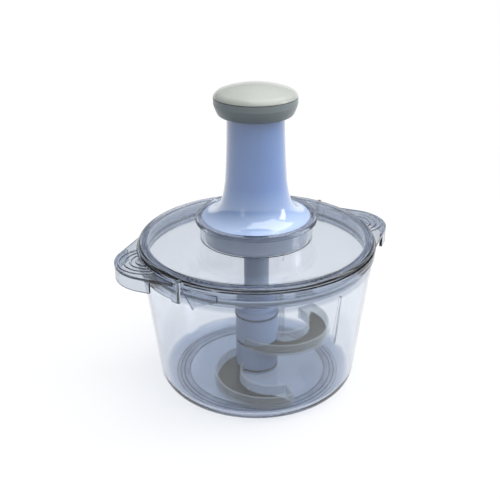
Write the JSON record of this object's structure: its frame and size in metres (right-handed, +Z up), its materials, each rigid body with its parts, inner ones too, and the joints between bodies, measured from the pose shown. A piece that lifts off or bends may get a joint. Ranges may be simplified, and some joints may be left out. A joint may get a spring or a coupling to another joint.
{
  "type": "plunger food chopper",
  "caption": "Hand-pumped food chopper: clear conical bowl with two ears, clear lid with a flared pump housing and palm knob, splined shaft and stacked sickle blades in clip-on guards.",
  "frame": {"origin": "centre of the foot ring's underside, where the bowl stands", "axes": "+Z up along the plunger and the blade axis; +X towards one ear of the bowl, with the other ear on -X"},
  "size_m": [0.227, 0.1866, 0.2424],
  "materials": {
    "clear_plastic": "clear moulded",
    "grip_rubber": "satin silicone",
    "pin_steel": "ground",
    "hub_plastic": "satin moulded",
    "blade_steel": "brushed",
    "bush_plastic": "low-friction moulded",
    "guard_plastic": "milky translucent",
    "housing_plastic": "glossy moulded",
    "inner_plastic": "moulded",
    "screw_steel": "zinc plated",
    "band_plastic": "satin moulded",
    "cap_plastic": "fine satin"
  },
  "bodies": {
    "bowl": {"bowl": "clear_plastic", "base_ring": "grip_rubber", "centre_pin": "pin_steel"},
    "blade_set": {"hub_core": "hub_plastic", "hub_foot": "hub_plastic", "lower_blade": "blade_steel", "hub_spacer": "hub_plastic", "upper_blade": "blade_steel", "hub_body": "hub_plastic", "hub_cap": "hub_plastic", "hub_bush": "bush_plastic", "lower_guard": "guard_plastic", "upper_guard": "guard_plastic"},
    "lid": {"lid": "clear_plastic", "lid_seal": "grip_rubber", "housing": "housing_plastic", "guide_bush": "bush_plastic", "bearing_plate": "inner_plastic", "spring_seat": "inner_plastic", "plate_screws": "screw_steel", "shaft_bush": "bush_plastic", "return_spring": "screw_steel"},
    "plunger": {"plunger_tube": "inner_plastic", "knob_base": "band_plastic", "knob_cap": "cap_plastic", "knob_screws": "screw_steel", "twist_rod": "pin_steel", "rod_pin": "pin_steel"},
    "drive_nut": {"drive_nut": "bush_plastic"},
    "drive_shaft": {"drive_shaft": "hub_plastic"}
  },
  "joints": [
    {"name": "lid_lift", "type": "slide", "parent": "bowl", "child": "lid", "axis": [0, 0, 1], "range_m": [0, 0.15]},
    {"name": "plunger_travel", "type": "slide", "parent": "lid", "child": "plunger", "axis": [0, 0, 1], "range_m": [0, 0.045], "deforming": ["return_spring"]},
    {"name": "nut_spin", "type": "hinge", "parent": "lid", "child": "drive_nut", "pos_m": [0, 0, 0.136], "axis": [0, 0, 1], "range_deg": [-280, 10]},
    {"name": "blade_spin", "type": "hinge", "parent": "bowl", "child": "blade_set", "pos_m": [0, 0, 0.03], "axis": [0, 0, 1], "continuous": true},
    {"name": "shaft_spin", "type": "hinge", "parent": "lid", "child": "drive_shaft", "pos_m": [0, 0, 0.1], "axis": [0, 0, 1], "continuous": true}
  ],
  "couplings": [
    {"joint": "nut_spin", "follows": "plunger_travel", "rad_per_m": -104.72},
    {"joint": "shaft_spin", "follows": "blade_spin", "ratio": 1}
  ]
}
